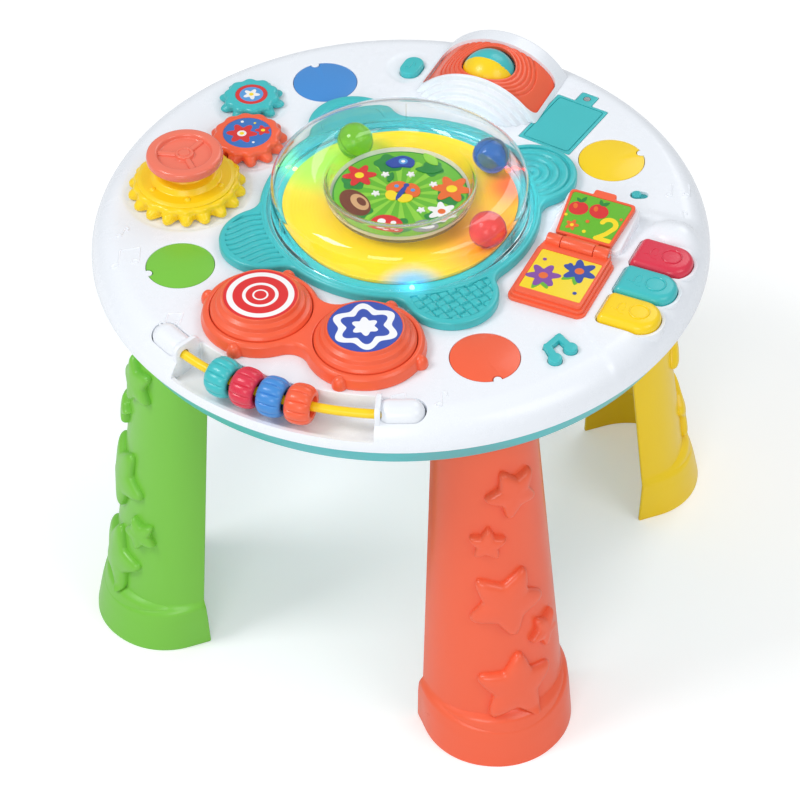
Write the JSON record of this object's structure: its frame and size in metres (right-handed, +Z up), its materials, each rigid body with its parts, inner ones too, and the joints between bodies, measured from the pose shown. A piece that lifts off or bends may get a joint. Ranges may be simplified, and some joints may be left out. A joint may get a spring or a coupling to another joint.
{
  "type": "musical activity table",
  "caption": "Round baby activity table on half-round legs, with a spinning ball dome, gears, drums, keys, book, roller, sliding beads and battery bay.",
  "frame": {"origin": "centre of the table on the floor, under the middle of the dome", "axes": "+Z up, +X to the keys and the book, -Y to the drums and the beads"},
  "size_m": [0.48, 0.48, 0.4],
  "materials": {
    "white_plastic": "satin moulded plastic",
    "teal_plastic": "satin moulded plastic",
    "coral_plastic": "satin moulded plastic",
    "yellow_plastic": "satin moulded plastic",
    "green_plastic": "satin moulded plastic",
    "blue_plastic": "satin moulded plastic",
    "red_plastic": "satin moulded plastic",
    "clear_plastic": "clear moulded plastic",
    "printed_card": "printed card",
    "screw_steel": "plated",
    "motor_steel": "plated can",
    "dark_plastic": "moulded plastic",
    "board_laminate": "laminate",
    "cell_jacket": "film wrapped cell"
  },
  "bodies": {
    "table": {"top_shell": "white_plastic", "base_tray": "teal_plastic", "leg_rear_right": "yellow_plastic", "leg_rear_left": "blue_plastic", "leg_front_left": "green_plastic", "leg_front_right": "coral_plastic", "tray_screw_1": "screw_steel", "tray_screw_2": "screw_steel", "tray_screw_3": "screw_steel", "tray_screw_4": "screw_steel", "center_ring": "teal_plastic", "dome": "clear_plastic", "turntable_motor": "motor_steel", "picture_disc": "printed_card", "light_green": "green_plastic", "light_red": "red_plastic", "light_blue": "blue_plastic", "drum_housing": "coral_plastic", "gear_pin_large": "screw_steel", "gear_pin_medium": "screw_steel", "gear_pin_small": "screw_steel", "book_base": "coral_plastic", "book_hinge_pin": "screw_steel", "battery_lid": "teal_plastic", "battery_screw": "screw_steel", "battery_box": "dark_plastic", "circuit_board": "board_laminate", "speaker": "dark_plastic", "battery_cell_1": "cell_jacket", "battery_cell_2": "cell_jacket", "battery_cell_3": "cell_jacket", "roller_frame": "white_plastic", "roller_insert": "coral_plastic", "roller_axle": "screw_steel", "bead_rail": "yellow_plastic", "rail_block_left": "white_plastic", "rail_block_right": "white_plastic"},
    "turntable": {"turntable": "yellow_plastic", "turntable_shaft": "screw_steel"},
    "ball_blue": {"ball_blue": "blue_plastic"},
    "ball_red": {"ball_red": "red_plastic"},
    "ball_green": {"ball_green": "green_plastic"},
    "gear_large": {"gear_large": "yellow_plastic", "steering_wheel": "coral_plastic"},
    "gear_medium": {"gear_medium": "coral_plastic"},
    "gear_small": {"gear_small": "teal_plastic"},
    "drum_pad_left": {"drum_pad_left": "coral_plastic"},
    "drum_pad_right": {"drum_pad_right": "coral_plastic"},
    "key_red": {"key_red": "red_plastic"},
    "key_teal": {"key_teal": "teal_plastic"},
    "key_yellow": {"key_yellow": "yellow_plastic"},
    "music_button": {"music_button": "teal_plastic"},
    "note_button": {"note_button": "teal_plastic"},
    "switch_knob": {"switch_knob": "teal_plastic"},
    "book_cover": {"book_cover": "coral_plastic"},
    "roller_ball": {"roller_ball": "yellow_plastic"},
    "bead_teal": {"bead_teal": "teal_plastic"},
    "bead_red": {"bead_red": "red_plastic"},
    "bead_blue": {"bead_blue": "blue_plastic"},
    "bead_coral": {"bead_coral": "coral_plastic"}
  },
  "joints": [
    {"name": "turntable_spin", "type": "hinge", "parent": "table", "child": "turntable", "pos_m": [0, 0, 0.364], "axis": [0, 0, 1], "continuous": true},
    {"name": "ball_blue_orbit", "type": "hinge", "parent": "table", "child": "ball_blue", "pos_m": [0, 0, 0.3786], "axis": [0, 0, 1], "continuous": true},
    {"name": "ball_red_orbit", "type": "hinge", "parent": "table", "child": "ball_red", "pos_m": [0, 0, 0.3786], "axis": [0, 0, 1], "continuous": true},
    {"name": "ball_green_orbit", "type": "hinge", "parent": "table", "child": "ball_green", "pos_m": [0, 0, 0.3786], "axis": [0, 0, 1], "continuous": true},
    {"name": "gear_large_turn", "type": "hinge", "parent": "table", "child": "gear_large", "pos_m": [-0.163, -0.0435, 0.364], "axis": [0, 0, 1], "continuous": true},
    {"name": "gear_medium_turn", "type": "hinge", "parent": "table", "child": "gear_medium", "pos_m": [-0.14644, 0.02765, 0.364], "axis": [0, 0, 1], "continuous": true},
    {"name": "gear_small_turn", "type": "hinge", "parent": "table", "child": "gear_small", "pos_m": [-0.16789, 0.07674, 0.362], "axis": [0, 0, 1], "continuous": true},
    {"name": "drum_left_press", "type": "slide", "parent": "table", "child": "drum_pad_left", "axis": [0, 0, -1], "range_m": [0, 0.0025], "stiffness_N_per_m": 1500, "springref_m": -0.001},
    {"name": "drum_right_press", "type": "slide", "parent": "table", "child": "drum_pad_right", "axis": [0, 0, -1], "range_m": [0, 0.0025], "stiffness_N_per_m": 1500, "springref_m": -0.001},
    {"name": "key_red_press", "type": "slide", "parent": "table", "child": "key_red", "axis": [0, 0, -1], "range_m": [0, 0.0025], "stiffness_N_per_m": 1000, "springref_m": -0.001},
    {"name": "key_teal_press", "type": "slide", "parent": "table", "child": "key_teal", "axis": [0, 0, -1], "range_m": [0, 0.0025], "stiffness_N_per_m": 1000, "springref_m": -0.001},
    {"name": "key_yellow_press", "type": "slide", "parent": "table", "child": "key_yellow", "axis": [0, 0, -1], "range_m": [0, 0.0025], "stiffness_N_per_m": 1000, "springref_m": -0.001},
    {"name": "music_button_press", "type": "slide", "parent": "table", "child": "music_button", "axis": [0, 0, -1], "range_m": [0, 0.0025], "stiffness_N_per_m": 600, "springref_m": -0.001},
    {"name": "note_button_press", "type": "slide", "parent": "table", "child": "note_button", "axis": [0, 0, -1], "range_m": [0, 0.002], "stiffness_N_per_m": 600, "springref_m": -0.001},
    {"name": "switch_slide", "type": "slide", "parent": "table", "child": "switch_knob", "axis": [0.8988, 0.4384, 0], "range_m": [0, 0.005]},
    {"name": "cover_hinge", "type": "hinge", "parent": "table", "child": "book_cover", "pos_m": [0.145, 0.0065, 0.367], "axis": [1, 0, 0], "range_deg": [0, 168]},
    {"name": "roller_spin", "type": "hinge", "parent": "table", "child": "roller_ball", "pos_m": [0, 0.171, 0.371], "axis": [1, 0, 0], "continuous": true},
    {"name": "bead_teal_slide", "type": "hinge", "parent": "table", "child": "bead_teal", "pos_m": [0, 0, 0.356], "axis": [0, 0, 1], "range_deg": [-6.5, 1.2]},
    {"name": "bead_red_slide", "type": "hinge", "parent": "bead_teal", "child": "bead_red", "pos_m": [0, 0, 0.356], "axis": [0, 0, 1], "range_deg": [0, 3.1]},
    {"name": "bead_blue_slide", "type": "hinge", "parent": "bead_red", "child": "bead_blue", "pos_m": [0, 0, 0.356], "axis": [0, 0, 1], "range_deg": [0, 3.1]},
    {"name": "bead_coral_slide", "type": "hinge", "parent": "bead_blue", "child": "bead_coral", "pos_m": [0, 0, 0.356], "axis": [0, 0, 1], "range_deg": [0, 3.1]}
  ],
  "couplings": [
    {"joint": "ball_blue_orbit", "follows": "turntable_spin", "ratio": 1},
    {"joint": "ball_red_orbit", "follows": "turntable_spin", "ratio": 1},
    {"joint": "ball_green_orbit", "follows": "turntable_spin", "ratio": 1},
    {"joint": "gear_medium_turn", "follows": "gear_large_turn", "ratio": -1.5},
    {"joint": "gear_small_turn", "follows": "gear_large_turn", "ratio": 1.8}
  ]
}
